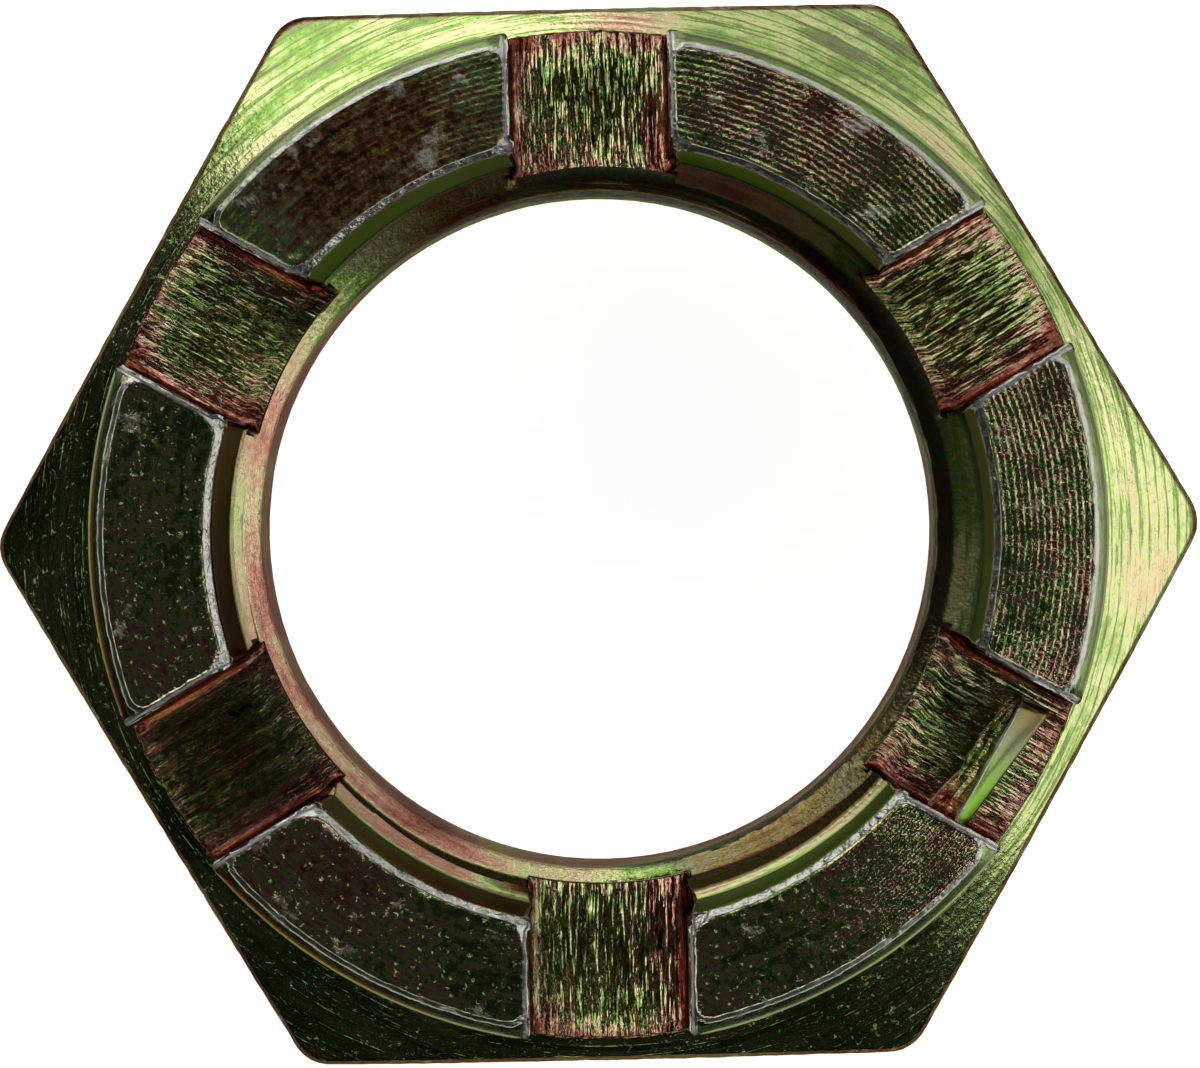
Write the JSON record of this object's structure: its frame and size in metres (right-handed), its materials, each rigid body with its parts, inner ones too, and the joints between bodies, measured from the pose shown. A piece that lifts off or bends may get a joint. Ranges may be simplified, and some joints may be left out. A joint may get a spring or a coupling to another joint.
{
  "type": "axle nut",
  "caption": "Castellated hexagon axle nut with a slotted crown for a split pin, in yellow zinc plated steel.",
  "frame": {"origin": "centre of the bearing face, on the axis of the thread", "axes": "+Z along the axis of the thread, out through the crown; +X through a corner of the hexagon, +Y through the middle of a side and its slot"},
  "size_m": [0.0366, 0.032, 0.016],
  "materials": {
    "zinc_plated_steel": "yellow chromated zinc plate with green and pink sheen, worn silver on the edges"
  },
  "bodies": {
    "root": {"axle_nut": "zinc_plated_steel"}
  },
  "joints": []
}
